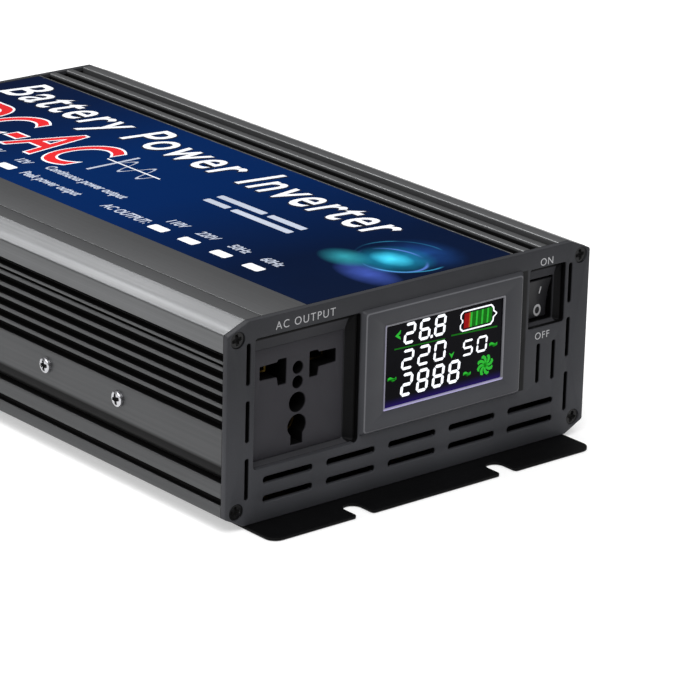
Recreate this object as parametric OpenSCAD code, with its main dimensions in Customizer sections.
// Power inverter: finned aluminium case, front panel with socket, display and rocker switch,
// rear panel with cooling fan and battery terminals, and a sheet base plate with notched ears.
// Origin: centre of the base plate's underside. X is the width, -Y is the front, Z is up.

/* [Case] */
// Width of the case over its side fins
case_w = 150; // [150:1:170]
// Length over the outer faces of the two end panels
case_l = 262; // [262:2:340]
// Height of the end panels
case_h = 66.5; // [66.5:0.5:68]
// Wall thickness of the extrusions
wall = 2.2; // [2:0.1:2.4]
// Height of the sloped bevel along each top edge
bevel_h = 3.4; // [3:0.1:4]
// Width of the sloped bevel along each top edge
bevel_w = 8.2; // [7:0.1:9]
// Thickness of the front and rear panels
panel_t = 2.2; // [2:0.1:2.6]

/* [Side fins] */
// Number of full-size fins on each side
fin_count = 5; // [3:1:5]
// Distance from one fin to the next
fin_pitch = 4; // [3.6:0.1:4]
// Thickness of a fin
fin_t = 1.3; // [1:0.1:1.6]
// Depth of the grooves between the fins
fin_d = 3; // [2.4:0.1:3]

/* [Base plate] */
// Thickness of the sheet
plate_t = 1; // [0.8:0.1:1.2]
// Width of the sheet
plate_w = 134; // [120:1:134]
// How far each ear stands out past the end panel
ear_l = 13.6; // [12:0.2:18]
// Distance between the two notches of one ear
notch_pitch = 60; // [50:1:90]
// Width of a notch
notch_w = 6.4; // [4.4:0.1:8]
// Depth of a notch from the free edge
notch_d = 9.2; // [7:0.1:10]

/* [Controls] */
// Angle that the rocker turns between off and on
rocker_swing = 19; // [12:1:20]
// Pitch of the screws along each side
side_screw_pitch = 38.4; // [36:0.2:40]
// Number of screws along each side
side_screw_n = 5; // [3:2:5]

/* [Rear] */
// Width of the square fan frame
fan_w = 60; // [60:1:60]
// Depth of the fan frame
fan_t = 15; // [15:1:20]
// Distance of each battery terminal from the centre plane
term_x = 48; // [46:1:50]
// Radius of the battery studs
stud_r = 4; // [3:0.5:4]

/* [Hidden] */
$fn = 48;
eps = 0.01;
clr = 0.1;                       // clearance round fixed shafts
run = 0.05;                      // radial running clearance
hw = case_w / 2;
front_y = -case_l / 2;
rear_y = case_l / 2;
in_front = front_y + panel_t;    // inner face of the front panel
in_rear = rear_y - panel_t;      // inner face of the rear panel
base_z = plate_t;                // underside of the body shell
panel_z = plate_t + 0.1;         // underside of the end panels
top_z = panel_z + case_h;
seam_z = top_z - 9.4;            // lower edge of the top cover
inner_x = hw - fin_d - wall;     // inner face of the side walls
skirt_x = hw - fin_d;
floor_z = base_z + 2;
tongue_z = seam_z + 1.7;

// Panel outline
low_chamfer_w = 7.5;
low_chamfer_h = 3.8;

// Panel screws
scr_r = 1.45;
scr_head_r = 2.6;
scr_head_h = 1.15;
scr_sink = 0.5;
scr_l = 12;
up_scr = [hw - 4, top_z - 5.2];
low_scr = [hw - 4.4, panel_z + 5.3];

// Side screws and the parts they clamp
side_scr_z = 28.5;
pad_t = 0.3;
fet_t = 4.5;
bar_t = 2;
fet_w = 10;
fet_step = 11.6;
bar_l = (side_screw_n - 1) * side_screw_pitch + 18;

// Body shell side profile, heights of its steps
cove_z = 16.1;
cove_h = 5.7;
cove_d = 2.8;
fins_z = 33.6;
fin0_z = fins_z + 3.55;
slit_z = 8.8;
slit_h = 2.3;
slit_d = 1.4;

// Top cover
label_w = 84.8;
label_t = 0.4;
recess_d = 0.5;
rib_w = 3.3;
rib_pitch = 7.55;
rib_x = 43.1;
rib_d = 2.4;

// Panel vents
slot_h = 2.4;
slot_l = 19.8;
slot_pitch = 25.4;
slot_x = -60.2;
row_z = [8.2, 14.5];
vslot_w = 1.6;
vslot_h = 13.6;
vslot_x = 66.7;
vslot_z = [9.5, 28.3, 46.9];
mid_slot_x = [53.9, 60.6];
mid_slot_z = 21.8;

// Socket openings
sock_open = [-64.2, -22.2, 18.6, 61.4];
sock_face = [-61.4, -24.8, 19.0, 55.3];
sock_face_y = in_front + 2.8;
sock_pin_x = -43;
sock_pin_z = 46.1;
sock_depth = 14;

// Rocker switch
rock_open = [48.9, 64.6, 41.0, 61.3];
rock_x = 56.9;
rock_z = 49.0;
rock_half_w = 5.6;
rock_half_h = 7.45;
rock_face_y = in_front + 1.4;
rock_axis_y = rock_face_y + 3.4;
rock_pin_r = 1.2;

// Display
bezel = [-22.1, 45.5, 20.4, 61.9];
bezel_h = 1.5;
bezel_slope = 1.2;
lcd_win = [-12.8, 36.5, 27.9, 55.1];
lcd_hole = [-15, 38.7, 25.7, 57.3];
post_x = [-19, 42.7];
post_z = [23.6, 58.4];

// Fan
fan_z = 34.1;
fan_bore = 28.6;
fan_hole = 25;
hub_r = 15;
blade_n = 7;
guard_y = rear_y + 3;
guard_t = 1.6;

// Battery terminals
term_z = 36;
base_h = 6;
base_r = 11;
gap = 0.2;
washer_y = rear_y + base_h + gap;
washer_t = 1.2;
knob_y = washer_y + washer_t + gap;
knob_l = 14;
knob_r = 10;
stud_out = knob_y + knob_l + 6;
stud_in = in_rear - 9.5;
lug_t = 1.5;
bush_t = 2;
nut_t = 4;
gnd_x = 61;
gnd_z = 12;

// Circuit board
board_z = 8;
board_t = 1.6;
board_top = board_z + board_t;
board_y = [-100, 106];
board_hw = inner_x - 3.8;

// ---------- helpers ----------

module along_y(y0, y1) {
    translate([0, y1, 0]) rotate([90, 0, 0]) linear_extrude(y1 - y0) children();
}

module along_x(x0, x1) {
    translate([x0, 0, 0]) rotate([90, 0, 90]) linear_extrude(x1 - x0) children();
}

module rod_y(x, z, y0, y1, r) {
    translate([x, y1, z]) rotate([90, 0, 0]) cylinder(r = r, h = y1 - y0);
}

module rod_x(y, z, x0, x1, r) {
    translate([x0, y, z]) rotate([0, 90, 0]) cylinder(r = r, h = x1 - x0);
}

module block(a, b) {
    translate(a) cube(b - a);
}

// Rectangle [x0, x1, z0, z1] with round corners
module round_rect(q, r) {
    translate([q[0] + r, q[2]]) square([q[1] - q[0] - 2 * r, q[3] - q[2]]);
    translate([q[0], q[2] + r]) square([q[1] - q[0], q[3] - q[2] - 2 * r]);
    for (x = [q[0] + r, q[1] - r], z = [q[2] + r, q[3] - r]) translate([x, z]) circle(r);
}

module rect(q) {
    translate([q[0], q[2]]) square([q[1] - q[0], q[3] - q[2]]);
}

function grow(q, d) = [q[0] - d, q[1] + d, q[2] - d, q[3] + d];

// Four-sided taper from rectangle a at y0 to rectangle b at y1
module taper(a, b, y0, y1) {
    intersection() {
        translate([0, 0, -1]) linear_extrude(case_h + 10)
            polygon([[a[0], y0], [a[1], y0], [b[1], y1], [b[0], y1]]);
        along_x(-hw, hw)
            polygon([[y0, a[2]], [y0, a[3]], [y1, b[3]], [y1, b[2]]]);
    }
}

// Countersunk screw with a cross recess, its head's face at z = 0
module csk_screw(l, head_r, head_h) {
    difference() {
        union() {
            translate([0, 0, -head_h]) cylinder(r1 = scr_r, r2 = head_r, h = head_h);
            translate([0, 0, -l]) cylinder(r = scr_r, h = l - head_h + eps);
        }
        cross_recess(head_r);
    }
}

// Pan-head screw with a cross recess, its head's underside at z = 0
module pan_screw(l, shank_r, head_r, head_h) {
    difference() {
        union() {
            cylinder(r = head_r, h = head_h * 0.55);
            translate([0, 0, head_h * 0.55]) cylinder(r1 = head_r, r2 = head_r * 0.72, h = head_h * 0.45);
            translate([0, 0, -l]) cylinder(r = shank_r, h = l + eps);
        }
        translate([0, 0, head_h]) cross_recess(head_r);
    }
}

module cross_recess(head_r) {
    for (a = [0, 90])
        rotate([0, 0, a]) translate([-head_r * 0.62, -head_r * 0.14, -0.8])
            cube([head_r * 1.24, head_r * 0.28, 1]);
}

// ---------- case ----------

module notch(x, s) {
    end_y = s * (rear_y + ear_l - notch_d + notch_w / 2);
    translate([x, end_y, -1]) cylinder(r = notch_w / 2, h = plate_t + 2);
    y_out = s * (rear_y + ear_l + 1);
    block([x - notch_w / 2, min(end_y, y_out), -1], [x + notch_w / 2, max(end_y, y_out), plate_t + 1]);
}

base_screw_xy = [for (x = [-50, 50], y = [-100, 0, 100]) [x, y]];

module base_plate() {
    color("#17181a")
    difference() {
        linear_extrude(plate_t)
            round_rect([-plate_w / 2, plate_w / 2, front_y - ear_l, rear_y + ear_l], 4);
        for (x = [-notch_pitch / 2, notch_pitch / 2], s = [-1, 1]) notch(x, s);
        for (p = base_screw_xy)
            translate([p[0], p[1], 0]) cylinder(r1 = scr_head_r + 0.1, r2 = scr_r + 0.1, h = plate_t);
    }
}

module base_screws() {
    color("#33353a")
    for (p = base_screw_xy)
        translate([p[0], p[1], 0]) rotate([180, 0, 0]) csk_screw(4.2, scr_head_r, plate_t);
}

// One side wall's outline from the bottom edge to the seam
function cove(n) = [for (i = [1:n]) let (a = 90 - i * 90 / n)
    [hw - cove_d + cove_d * cos(a), cove_z + 0.6 + (cove_h - 0.6) * (1 - sin(a))]];
side_path = concat(
    [[hw - low_chamfer_w - 0.2, base_z], [hw, panel_z + low_chamfer_h], [hw, slit_z],
     [hw - slit_d, slit_z], [hw - slit_d, slit_z + slit_h], [hw, slit_z + slit_h],
     [hw, cove_z], [hw - cove_d, cove_z], [hw - cove_d, cove_z + 0.6]],
    cove(8),
    [[hw, fins_z], [skirt_x, fins_z], [skirt_x, seam_z], [skirt_x - clr, seam_z],
     [skirt_x - clr, tongue_z], [inner_x, tongue_z]]);
inner_path = [[inner_x, 10.5], [inner_x - 3, 9], [inner_x - 3, floor_z + 1.5], [inner_x - 4.8, floor_z]];

module shell_half() {
    polygon(concat([[0, base_z]], side_path, inner_path, [[0, floor_z]]));
    for (i = [0:fin_count - 1])
        translate([skirt_x - eps, fin0_z - fin_t / 2 + i * fin_pitch]) square([fin_d + eps, fin_t]);
    translate([skirt_x - eps, seam_z - 3.45]) square([fin_d + eps, 0.9]);
    translate([skirt_x - eps, seam_z - 1.4]) square([1.6 + eps, 0.5]);
}

side_screw_y = [for (i = [0:side_screw_n - 1]) (i - (side_screw_n - 1) / 2) * side_screw_pitch];

module body_shell() {
    color("#6a6b6d")
    difference() {
        along_y(in_front, in_rear) {
            shell_half();
            mirror([1, 0]) shell_half();
        }
        for (s = [-1, 1]) {
            rod_y(s * low_scr[0], low_scr[1], in_front - 1, in_front + scr_l, scr_r + run);
            rod_y(s * low_scr[0], low_scr[1], in_rear - scr_l, in_rear + 1, scr_r + run);
        }
        for (y = side_screw_y) rod_x(y, side_scr_z, -hw - 1, hw + 1, scr_r + clr);
        for (p = base_screw_xy)
            translate([p[0], p[1], 0]) cylinder(r = scr_r + run, h = floor_z + 1);
    }
}

module top_cover() {
    ceil_z = top_z - 2.4;
    low_ceil_z = top_z - 4.2;
    bore_x = skirt_x - 5.5;
    color("#76777a")
    difference() {
        along_y(in_front, in_rear) polygon([
            [hw, seam_z], [hw, top_z - bevel_h], [hw - bevel_w, top_z],
            [-hw + bevel_w, top_z], [-hw, top_z - bevel_h], [-hw, seam_z],
            [-skirt_x, seam_z], [-skirt_x, tongue_z + clr], [-bore_x, tongue_z + clr],
            [-bore_x, ceil_z], [rib_x - 2.6, ceil_z], [rib_x - 2.6, low_ceil_z],
            [bore_x, low_ceil_z], [bore_x, tongue_z + clr], [skirt_x, tongue_z + clr],
            [skirt_x, seam_z]]);
        block([-label_w / 2 - clr, in_front - 1, top_z - recess_d],
              [label_w / 2 + clr, in_rear + 1, top_z + 1]);
        for (i = [0:2]) {
            x0 = rib_x + i * rib_pitch;
            block([x0, in_front - 1, top_z - rib_d], [x0 + rib_pitch - rib_w, in_rear + 1, top_z + 1]);
        }
        along_y(in_front - 1, in_rear + 1)
            polygon([[-60.8, top_z + eps], [-60.35, top_z - 0.5], [-59.9, top_z + eps]]);
        for (s = [-1, 1]) {
            rod_y(s * up_scr[0], up_scr[1], in_front - 1, in_front + scr_l, scr_r + run);
            rod_y(s * up_scr[0], up_scr[1], in_rear - scr_l, in_rear + 1, scr_r + run);
        }
    }
}

module top_label() {
    color("#0b2a66")
    block([-label_w / 2, in_front + 0.2, top_z - recess_d],
          [label_w / 2, in_rear - 0.2, top_z - recess_d + label_t]);
}

// ---------- end panels ----------

module panel_blank(y0, y1) {
    along_y(y0, y1) polygon([
        [hw, panel_z + low_chamfer_h], [hw, top_z - bevel_h - 0.1], [hw - bevel_w, top_z],
        [-hw + bevel_w, top_z], [-hw, top_z - bevel_h - 0.1], [-hw, panel_z + low_chamfer_h],
        [-hw + low_chamfer_w, panel_z], [hw - low_chamfer_w, panel_z]]);
}

panel_screw_xz = [for (s = [-1, 1], p = [up_scr, low_scr]) [s * p[0], p[1]]];

// Recess and hole for one panel screw, s = -1 on the front and 1 on the rear
module panel_screw_hole(p, s) {
    face = s * rear_y;
    sink = face - s * scr_sink;
    seat = sink - s * scr_head_h;
    translate([p[0], face, p[1]]) rotate([-90 * s, 0, 0]) {
        translate([0, 0, -scr_sink]) cylinder(r = scr_head_r + 0.25, h = scr_sink + 1);
        translate([0, 0, -scr_sink - scr_head_h])
            cylinder(r1 = scr_r + clr, r2 = scr_head_r + clr, h = scr_head_h + eps);
        translate([0, 0, -panel_t - 1]) cylinder(r = scr_r + clr, h = panel_t + 1);
    }
}

module panel_screws(s) {
    for (p = panel_screw_xz)
        translate([p[0], s * (rear_y - scr_sink), p[1]]) rotate([-90 * s, 0, 0])
            csk_screw(scr_l, scr_head_r, scr_head_h);
}

module vent_slots(y0, y1) {
    for (i = [0:4], z = row_z)
        along_y(y0, y1) round_rect([slot_x + i * slot_pitch, slot_x + i * slot_pitch + slot_l,
            z - slot_h / 2, z + slot_h / 2], slot_h / 2 - 0.05);
}

module side_slots(y0, y1) {
    for (s = [-1, 1], z = vslot_z)
        along_y(y0, y1) round_rect([s * vslot_x - vslot_w / 2, s * vslot_x + vslot_w / 2,
            z, z + vslot_h], vslot_w / 2 - 0.05);
}

module front_panel() {
    color("#46474b") {
        difference() {
            panel_blank(front_y, in_front);
            along_y(front_y - 1, in_front + 1) {
                round_rect(sock_open, 1.6);
                round_rect(rock_open, 1);
                rect(lcd_hole);
            }
            vent_slots(front_y - 1, in_front + 1);
            side_slots(front_y - 1, in_front + 1);
            for (x = mid_slot_x)
                along_y(front_y - 1, in_front + 1)
                    round_rect([x - vslot_w / 2, x + vslot_w / 2, mid_slot_z, mid_slot_z + vslot_h],
                        vslot_w / 2 - 0.05);
            for (p = panel_screw_xz) panel_screw_hole(p, -1);
        }
        for (x = post_x, z = post_z)
            difference() {
                rod_y(x, z, in_front - eps, in_front + 5, 1.9);
                rod_y(x, z, in_front, in_front + 6, 0.8);
            }
    }
}

module front_screws() {
    color("#2b2c2f") panel_screws(-1);
}

module rear_screws() {
    color("#2b2c2f") panel_screws(1);
}

module side_screws(s) {
    for (y = side_screw_y)
        translate([s * hw, y, side_scr_z]) rotate([0, 90 * s, 0])
            pan_screw(hw - inner_x + pad_t + fet_t + bar_t + 1, scr_r, 2.7, 1.9);
}

module side_screws_left() {
    color("#d5d6d8") side_screws(-1);
}

module side_screws_right() {
    color("#d5d6d8") side_screws(1);
}

// ---------- socket ----------

// Flat apertures for blade and pin plugs, mirrored about the centre line
module live_holes() {
    for (s = [-1, 1]) {
        translate([s > 0 ? 4.7 : -15.1, -1.2]) square([10.4, 4.7]);
        translate([s > 0 ? 4.7 : -7.8, -3.8]) square([3.1, 8.3]);
    }
}

module centre_holes() {
    translate([0, 0.3]) circle(2.1);
    translate([0, -4.5]) circle(2.1);
    translate([0, -11.1]) circle(3.3);
    translate([0, -18.8]) circle(3.7);
    translate([-2.4, -25]) square([4.8, 6.2]);
}

module socket_housing() {
    color("#3f4044")
    difference() {
        union() {
            block([sock_open[0] - 0.9, in_front, sock_open[2] - 1.4],
                  [sock_open[1] + 1.2, in_front + 3.4, sock_open[3] + 1]);
            block([sock_face[0] + 0.4, in_front + 3.4 - eps, sock_face[2] + 0.4],
                  [sock_face[1] - 0.4, sock_face_y + sock_depth + 2, sock_face[3] - 0.4]);
        }
        taper(grow(sock_open, 0), sock_face, in_front - eps, sock_face_y);
        along_y(sock_face_y - 1, sock_face_y + sock_depth)
            translate([sock_pin_x, sock_pin_z]) {
                live_holes();
                centre_holes();
            }
    }
}

// Three folded brass contacts, one behind each plug pin
module socket_contacts() {
    y0 = sock_face_y + 6;
    y1 = sock_face_y + sock_depth;
    color("#c9a24a")
    translate([sock_pin_x, 0, sock_pin_z]) {
        for (s = [-1, 1])
            difference() {
                block([s > 0 ? 8.2 : -14.9, y0, -1], [s > 0 ? 14.9 : -8.2, y1, 3.3]);
                block([s > 0 ? 8.9 : -14.2, y0 - 1, -0.4], [s > 0 ? 14.2 : -8.9, y1 - 0.8, 2.7]);
            }
        difference() {
            rod_y(0, -18.8, y0, y1, 3.5);
            rod_y(0, -18.8, y0 - 1, y1 - 0.8, 2.9);
        }
    }
}

// ---------- display ----------

module lcd_bezel() {
    crest = grow(bezel, -bezel_slope);
    color("#505156")
    difference() {
        union() {
            taper(crest, bezel, front_y - bezel_h, front_y);
            along_y(front_y - eps, in_front - 0.2) rect(grow(lcd_hole, -clr));
        }
        along_y(front_y - bezel_h - 1, in_front + 1) rect(lcd_win);
        along_y(front_y - bezel_h - 1, front_y - bezel_h + 0.3)
            difference() {
                rect(grow(bezel, -bezel_slope - 1));
                rect(grow(lcd_win, 1.2));
            }
    }
}

module lcd_window() {
    color("#20242c", 0.5)
    along_y(front_y - 0.9, front_y) rect(grow(lcd_win, -0.15));
}

module lcd_module() {
    color("#0a0b0d")
    along_y(front_y + 0.05, in_front + 3) rect(grow(lcd_win, -0.15));
}

board_rect = [post_x[0] - 3, post_x[1] + 1.8, post_z[0] - 3, post_z[1] + 3];

module lcd_board() {
    color("#1d6b3a")
    difference() {
        union() {
            along_y(in_front + 5, in_front + 6.6) rect(board_rect);
            block([-5, in_front + 6.6 - eps, 34], [9, in_front + 8.6, 48]);
        }
        for (x = post_x, z = post_z) rod_y(x, z, in_front + 4, in_front + 8, 0.95);
    }
    color("#0a0b0d")
    along_y(in_front + 3.01, in_front + 5) rect(grow(lcd_win, -3));
}

module lcd_screws() {
    color("#b8babd")
    for (x = post_x, z = post_z)
        translate([x, in_front + 6.65, z]) rotate([-90, 0, 0]) pan_screw(5, 0.75, 1.5, 1);
}

// ---------- rocker switch ----------

rock_well = [rock_x - rock_half_w, rock_x + rock_half_w, rock_z - rock_half_h, rock_z + rock_half_h];

module switch_housing() {
    color("#1f2023")
    difference() {
        union() {
            block([rock_open[0] - 1.2, in_front, rock_open[2] - 1],
                  [rock_open[1] + 0.8, in_front + 2.6, rock_open[3] + 0.8]);
            block([rock_well[0] - 1, in_front + 2.6 - eps, rock_well[2] - 1],
                  [rock_well[1] + 1, rock_axis_y + 9.4, rock_well[3] + 1]);
        }
        taper(rock_open, rock_well, in_front - eps, rock_face_y);
        along_y(rock_face_y - 0.01, rock_axis_y + 8.4) rect(rock_well);
        rod_x(rock_axis_y, rock_z, rock_well[0] - 2, rock_well[1] + 2, rock_pin_r + run);
    }
}

// The rocker is drawn with its lower half pressed in, the off position
module switch_rocker() {
    half_w = rock_half_w - 0.35;
    tip = 6.9;
    color("#26272a")
    translate([rock_x, rock_axis_y, rock_z]) rotate([rocker_swing / 2, 0, 0]) {
        along_x(-half_w, half_w)
            polygon([[-2, tip], [-1.2, 0], [-2, -tip], [0.6, -6.6], [2.4, -5.6], [5.2, -2.4],
                     [5.2, 2.4], [2.4, 5.6], [0.6, 6.6]]);
        rod_x(0, 0, -half_w - 1.1, half_w + 1.1, rock_pin_r);
    }
}

module switch_terminals() {
    y0 = rock_axis_y + 9.4;
    color("#c9a24a")
    for (z = [rock_z - 5.5, rock_z, rock_z + 5.5])
        difference() {
            block([rock_x - 2.4, y0, z - 0.4], [rock_x + 2.4, y0 + 7.6, z + 0.4]);
            translate([rock_x, y0 + 4.6, z - 1]) cylinder(r = 0.8, h = 2);
        }
}

// ---------- rear panel and fan ----------

fan_holes = [for (x = [-fan_hole, fan_hole], z = [fan_z - fan_hole, fan_z + fan_hole]) [x, z]];

module rear_panel() {
    color("#46474b")
    difference() {
        panel_blank(in_rear, rear_y);
        rod_y(0, fan_z, in_rear - 1, rear_y + 1, fan_bore);
        for (p = fan_holes) rod_y(p[0], p[1], in_rear - 1, rear_y + 1, 1.7);
        for (s = [-1, 1]) rod_y(s * term_x, term_z, in_rear - 1, rear_y + 1, 7.1);
        rod_y(gnd_x, gnd_z, in_rear - 1, rear_y + 1, 2.1);
        side_slots(in_rear - 1, rear_y + 1);
        for (p = panel_screw_xz) panel_screw_hole(p, 1);
    }
}

module fan_frame() {
    y0 = in_rear - fan_t;
    color("#1b1c1e") {
        difference() {
            block([-fan_w / 2, y0, fan_z - fan_w / 2], [fan_w / 2, in_rear, fan_z + fan_w / 2]);
            rod_y(0, fan_z, y0 - 1, in_rear + 1, fan_bore);
            for (p = fan_holes) rod_y(p[0], p[1], y0 - 1, in_rear + 1, 1.7);
        }
        difference() {
            union() {
                rod_y(0, fan_z, y0, y0 + 1.6, hub_r);
                rod_y(0, fan_z, y0 + 1.5, y0 + 9, 3.6);
                for (a = [45:90:315])
                    translate([0, y0, fan_z]) rotate([0, a, 0])
                        block([hub_r - 1, 0, -1.2], [fan_bore + 0.4, 1.6, 1.2]);
            }
            rod_y(0, fan_z, y0 - 1, y0 + 10, 1.5 + run);
        }
    }
}

module fan_blade() {
    intersection() {
        translate([hub_r - 1, 6.5, 0]) rotate([32, 0, 0])
            translate([0, -7, -0.6]) cube([fan_bore - hub_r, 14, 1.2]);
        rod_y(0, 0, 2.6, 12.6, fan_bore - 1.1);
    }
}

module fan_rotor() {
    y0 = in_rear - fan_t;
    color("#222326")
    translate([0, y0, fan_z]) {
        difference() {
            rod_y(0, 0, 2.4, 13, hub_r);
            rod_y(0, 0, 2, 11.4, hub_r - 1.8);
        }
        rod_y(0, 0, 0.6, 11.5, 1.5);
        for (i = [0:blade_n - 1]) rotate([0, i * 360 / blade_n, 0])
            difference() {
                fan_blade();
                rod_y(0, 0, 1, 14, hub_r - 0.9);
            }
    }
}

// Motor windings round the fan's bearing tube
module fan_stator() {
    y0 = in_rear - fan_t;
    color("#a4622c")
    difference() {
        rod_y(0, fan_z, y0 + 2.6, y0 + 9, 10.5);
        rod_y(0, fan_z, y0 + 1, y0 + 10, 3.7);
    }
}

module fan_guard() {
    color("#c4c6c8") {
        for (r = [9, 16, 23, 30])
            difference() {
                rod_y(0, fan_z, guard_y, guard_y + guard_t, r);
                rod_y(0, fan_z, guard_y - 1, guard_y + guard_t + 1, r - 1.6);
            }
        difference() {
            translate([0, 0, fan_z]) for (a = [45:90:315]) rotate([0, a, 0]) {
                block([8.2, guard_y, -0.8], [32, guard_y + guard_t, 0.8]);
                block([30.4, rear_y, -0.8], [32, guard_y + eps, 0.8]);
                block([30.4, rear_y, -0.8], [33, rear_y + 1.2, 0.8]);
                rod_y(sqrt(2) * fan_hole, 0, rear_y, rear_y + 1.2, 3.6);
            }
            for (p = fan_holes) rod_y(p[0], p[1], rear_y - 1, rear_y + 1.3, 1.7);
        }
    }
}

module fan_screws() {
    color("#2b2c2f")
    for (p = fan_holes)
        translate([p[0], rear_y + 1.25, p[1]]) rotate([-90, 0, 0]) pan_screw(16, 1.6, 3, 2);
}

// ---------- battery and earth terminals ----------

module terminal_base(x) {
    difference() {
        union() {
            rod_y(x, term_z, rear_y, rear_y + base_h, base_r);
            rod_y(x, term_z, in_rear - bush_t, rear_y + eps, 7);
        }
        rod_y(x, term_z, in_rear - bush_t - 1, rear_y + base_h + 1, stud_r + clr);
    }
}

module terminal_base_red() {
    color("#a81f1c") terminal_base(-term_x);
}

module terminal_base_black() {
    color("#1b1b1d") terminal_base(term_x);
}

// A thread relief under the knob's outer end sets off the free end that takes a ring terminal
module terminal_studs() {
    relief = knob_y + knob_l - 0.6;
    color("#c9a24a")
    for (s = [-1, 1]) {
        rod_y(s * term_x, term_z, stud_in, relief, stud_r);
        rod_y(s * term_x, term_z, relief - 1, relief + 2, stud_r - 0.7);
        rod_y(s * term_x, term_z, relief + 1, stud_out, stud_r);
    }
}

module terminal_nuts() {
    y1 = in_rear - bush_t - lug_t;
    color("#c9a24a")
    for (s = [-1, 1])
        difference() {
            translate([s * term_x, y1, term_z]) rotate([90, 0, 0]) cylinder(r = 7.4, h = nut_t, $fn = 6);
            rod_y(s * term_x, term_z, y1 - nut_t - 1, y1 + 1, stud_r + clr);
        }
}

module washer(x) {
    difference() {
        rod_y(x, term_z, washer_y, washer_y + washer_t, 8.5);
        rod_y(x, term_z, washer_y - 1, washer_y + washer_t + 1, stud_r + run);
    }
}

module washer_red() {
    color("#c9a24a") washer(-term_x);
}

module washer_black() {
    color("#c9a24a") washer(term_x);
}

module knob(x) {
    flutes = 14;
    difference() {
        union() {
            rod_y(x, term_z, knob_y, knob_y + 3, knob_r - 1.2);
            rod_y(x, term_z, knob_y + 3 - eps, knob_y + knob_l - 1.2, knob_r);
            rod_y(x, term_z, knob_y + knob_l - 1.3, knob_y + knob_l, knob_r - 1.2);
        }
        rod_y(x, term_z, knob_y - 1, knob_y + knob_l + 1, stud_r + run);
        translate([x, 0, term_z])
            for (i = [0:flutes - 1]) rotate([0, i * 360 / flutes, 0])
                rod_y(knob_r + 0.5, 0, knob_y + 2, knob_y + knob_l + 1, 1.2);
    }
}

module knob_red() {
    color("#b3211d") knob(-term_x);
}

module knob_black() {
    color("#18181a") knob(term_x);
}

module earth_screw() {
    color("#c4c6c8") {
        rod_y(gnd_x, gnd_z, in_rear - 3.4, rear_y + 3.8, 2);
        rod_y(gnd_x, gnd_z, rear_y + 3, rear_y + 5, 1.5);
        rod_y(gnd_x, gnd_z, rear_y + 4.6, rear_y + 11, 2);
        translate([gnd_x, in_rear - 0.2, gnd_z]) rotate([90, 0, 0]) cylinder(r = 4, h = 3.2, $fn = 6);
    }
}

module earth_nut() {
    color("#c4c6c8") {
        difference() {
            rod_y(gnd_x, gnd_z, rear_y, rear_y + 0.8, 4.6);
            rod_y(gnd_x, gnd_z, rear_y - 1, rear_y + 2, 2 + clr);
        }
        difference() {
            translate([gnd_x, rear_y + 4.2, gnd_z]) rotate([90, 0, 0]) cylinder(r = 4, h = 3.3, $fn = 6);
            rod_y(gnd_x, gnd_z, rear_y, rear_y + 5, 2 + clr);
        }
    }
}

module busbar(x) {
    y1 = in_rear - bush_t;
    difference() {
        union() {
            block([x - 8, y1 - lug_t, board_top], [x + 8, y1, term_z + 9]);
            block([x - 8, board_y[1] - 8, board_top], [x + 8, y1, board_top + lug_t]);
        }
        rod_y(x, term_z, y1 - lug_t - 1, y1 + 1, stud_r + clr);
    }
}

module busbar_positive() {
    color("#b87333") busbar(-term_x);
}

module busbar_negative() {
    color("#b87333") busbar(term_x);
}

// ---------- circuit board ----------

standoff_xy = [for (x = [-58, 58], y = [-94, -30, 40]) [x, y]];

module main_board() {
    color("#1d6b3a")
    difference() {
        block([-board_hw, board_y[0], board_z], [board_hw, board_y[1], board_top]);
        for (p = standoff_xy) translate([p[0], p[1], 0]) cylinder(r = 1.6, h = 20);
    }
}

module board_standoffs() {
    color("#c9a24a")
    for (p = standoff_xy)
        translate([p[0], p[1], floor_z]) difference() {
            cylinder(r = 3, h = board_z - floor_z);
            translate([0, 0, 1]) cylinder(r = 1.5 + run, h = 10);
        }
}

module board_screws() {
    color("#b8babd")
    for (p = standoff_xy) translate([p[0], p[1], board_top]) pan_screw(5, 1.5, 2.8, 1.8);
}

fet_y = [for (i = [0:side_screw_n - 2], j = [-1, 0, 1])
    (i - (side_screw_n - 2) / 2) * side_screw_pitch + j * fet_step];

module mosfets(s) {
    x1 = inner_x - pad_t;
    for (y = fet_y) scale_x(s) {
        block([x1 - fet_t, y - fet_w / 2, 17], [x1, y + fet_w / 2, 32]);
        for (dy = [-2.5, 0, 2.5])
            block([x1 - fet_t + 0.1, y + dy - 0.4, board_top], [x1 - fet_t + 0.6, y + dy + 0.4, 17.1]);
    }
}

module scale_x(s) {
    if (s > 0) children();
    else mirror([1, 0, 0]) children();
}

module mosfets_left() {
    color("#202124") mosfets(-1);
}

module mosfets_right() {
    color("#202124") mosfets(1);
}

module insulating_pads() {
    color("#8d9aa3")
    for (s = [-1, 1]) scale_x(s)
        difference() {
            block([inner_x - pad_t, -bar_l / 2, 16], [inner_x, bar_l / 2, 34]);
            for (y = side_screw_y) rod_x(y, side_scr_z, inner_x - 1, inner_x + 1, scr_r + clr);
        }
}

module clamp_bar(s) {
    x1 = inner_x - pad_t - fet_t;
    scale_x(s) difference() {
        block([x1 - bar_t, -bar_l / 2, 24], [x1, bar_l / 2, 33]);
        for (y = side_screw_y) rod_x(y, side_scr_z, x1 - bar_t - 1, x1 + 1, scr_r + run);
    }
}

module clamp_bar_left() {
    color("#9ea1a5") clamp_bar(-1);
}

module clamp_bar_right() {
    color("#9ea1a5") clamp_bar(1);
}

transformer_xy = [for (y = [-62, -12, 38]) [-24, y]];

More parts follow.
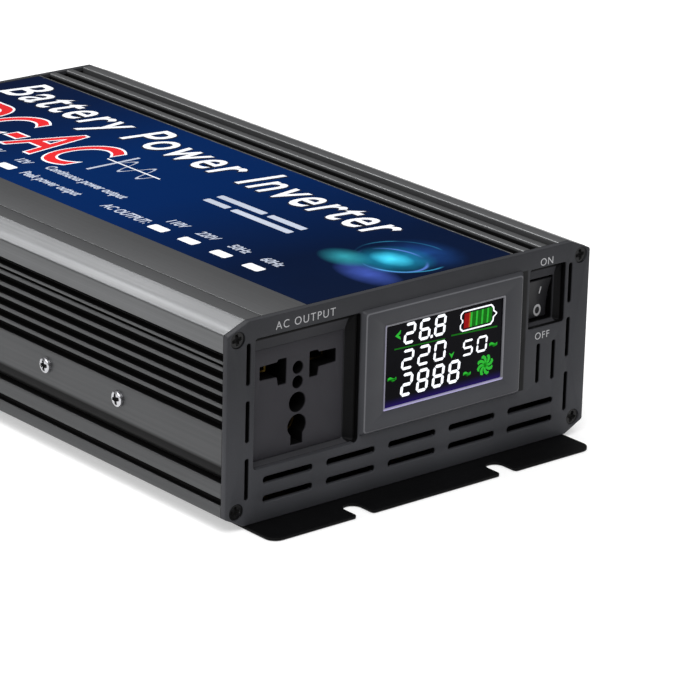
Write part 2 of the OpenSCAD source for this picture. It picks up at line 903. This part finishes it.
module transformer_cores() {
    color("#3a3b3e")
    for (p = transformer_xy)
        translate([p[0], p[1], board_top + 4]) {
            for (s = [-1, 1]) translate([s * 21, 0, 17]) cube([8, 20, 34], center = true);
            for (z = [4, 30]) translate([0, 0, z]) cube([42.02, 20, 8], center = true);
            translate([0, 0, 17]) cube([12, 20, 34], center = true);
        }
}

module transformer_windings() {
    color("#d8a431")
    for (p = transformer_xy)
        translate([p[0], p[1], board_top + 4]) {
            difference() {
                translate([0, 0, 17]) cube([33, 40, 17.6], center = true);
                translate([0, 0, 17]) cube([12.4, 20.4, 20], center = true);
            }
            for (y = [-17, 17]) translate([0, y, 2.25]) cube([33, 5, 12.5], center = true);
        }
}

module input_capacitors() {
    color("#26314f")
    for (i = [0:5])
        translate([-32.5 + i * 13, 88, board_top]) cylinder(r = 6.2, h = 26);
}

module bus_capacitors() {
    color("#26314f")
    for (y = [-34, 2]) translate([34, y, board_top]) cylinder(r = 15, h = 40);
}

module choke_core() {
    color("#c8b23a")
    translate([34, -76, board_top + 21]) rotate([0, 90, 0]) difference() {
        cylinder(r = 16, h = 9, center = true);
        cylinder(r = 9, h = 10, center = true);
    }
}

// Windings of the output choke, one strap for each bundle of turns
module choke_winding() {
    turns = 10;
    color("#b87333")
    translate([34, -76, board_top + 21]) rotate([0, 90, 0])
        for (i = [0:turns - 1]) rotate([0, 0, i * 360 / turns])
            difference() {
                translate([12.5, 0, 0]) cube([11.4, 3, 13], center = true);
                translate([12.5, 0, 0]) cube([7.4, 4, 9.2], center = true);
            }
}

module control_board() {
    color("#1d6b3a")
    block([8, -70, board_top], [9.6, 20, board_top + 32]);
    color("#1b1c1e")
    for (y = [-55, -25, 5]) block([9.6, y - 5, board_top + 10], [11.4, y + 5, board_top + 20]);
}

fuse_x = [for (i = [0:5]) -30 + i * 12];

module fuse_holders() {
    color("#303237")
    for (x = fuse_x)
        difference() {
            block([x - 4, 60, board_top], [x + 4, 76, board_top + 9]);
            block([x - 2.1, 62.9, board_top + 2], [x + 2.1, 73.1, board_top + 10]);
        }
}

module blade_fuses() {
    color("#3fa35a")
    for (x = fuse_x) block([x - 1.9, 63, board_top + 2], [x + 1.9, 73, board_top + 15]);
}

base_plate();
base_screws();
body_shell();
top_cover();
top_label();
front_panel();
front_screws();
side_screws_left();
side_screws_right();
socket_housing();
socket_contacts();
lcd_bezel();
lcd_window();
lcd_module();
lcd_board();
lcd_screws();
switch_housing();
switch_rocker();
switch_terminals();
rear_panel();
rear_screws();
fan_frame();
fan_rotor();
fan_stator();
fan_guard();
fan_screws();
terminal_base_red();
terminal_base_black();
terminal_studs();
terminal_nuts();
washer_red();
washer_black();
knob_red();
knob_black();
earth_screw();
earth_nut();
busbar_positive();
busbar_negative();
main_board();
board_standoffs();
board_screws();
mosfets_left();
mosfets_right();
insulating_pads();
clamp_bar_left();
clamp_bar_right();
transformer_cores();
transformer_windings();
input_capacitors();
bus_capacitors();
choke_core();
choke_winding();
control_board();
fuse_holders();
blade_fuses();
